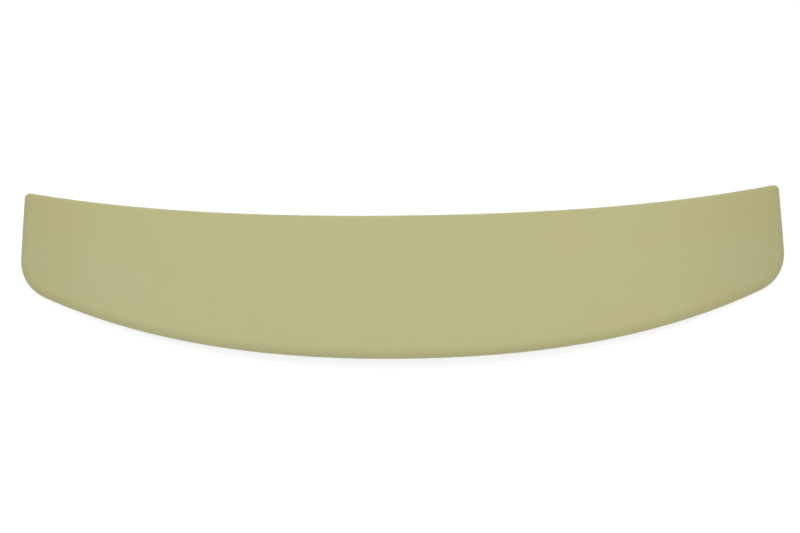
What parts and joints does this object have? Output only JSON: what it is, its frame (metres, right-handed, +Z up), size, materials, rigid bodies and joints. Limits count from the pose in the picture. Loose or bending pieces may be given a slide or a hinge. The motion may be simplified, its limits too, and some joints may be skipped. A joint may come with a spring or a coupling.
{
  "type": "roof spoiler",
  "caption": "Crowned roof spoiler moulded in raw polyurethane for the top of a car's rear window, with rolled edges and a cored, ribbed underside that is bonded on.",
  "frame": {"origin": "middle of the part's box, on the surface that it lies on", "axes": "+X across the car, +Y towards the front edge that meets the roof, +Z up, with the part as it comes to rest on a flat surface"},
  "size_m": [1.12, 0.2613, 0.0651],
  "materials": {
    "raw_polyurethane": "raw, unpainted, dull satin"
  },
  "bodies": {
    "root": {"roof_spoiler": "raw_polyurethane"}
  },
  "joints": []
}
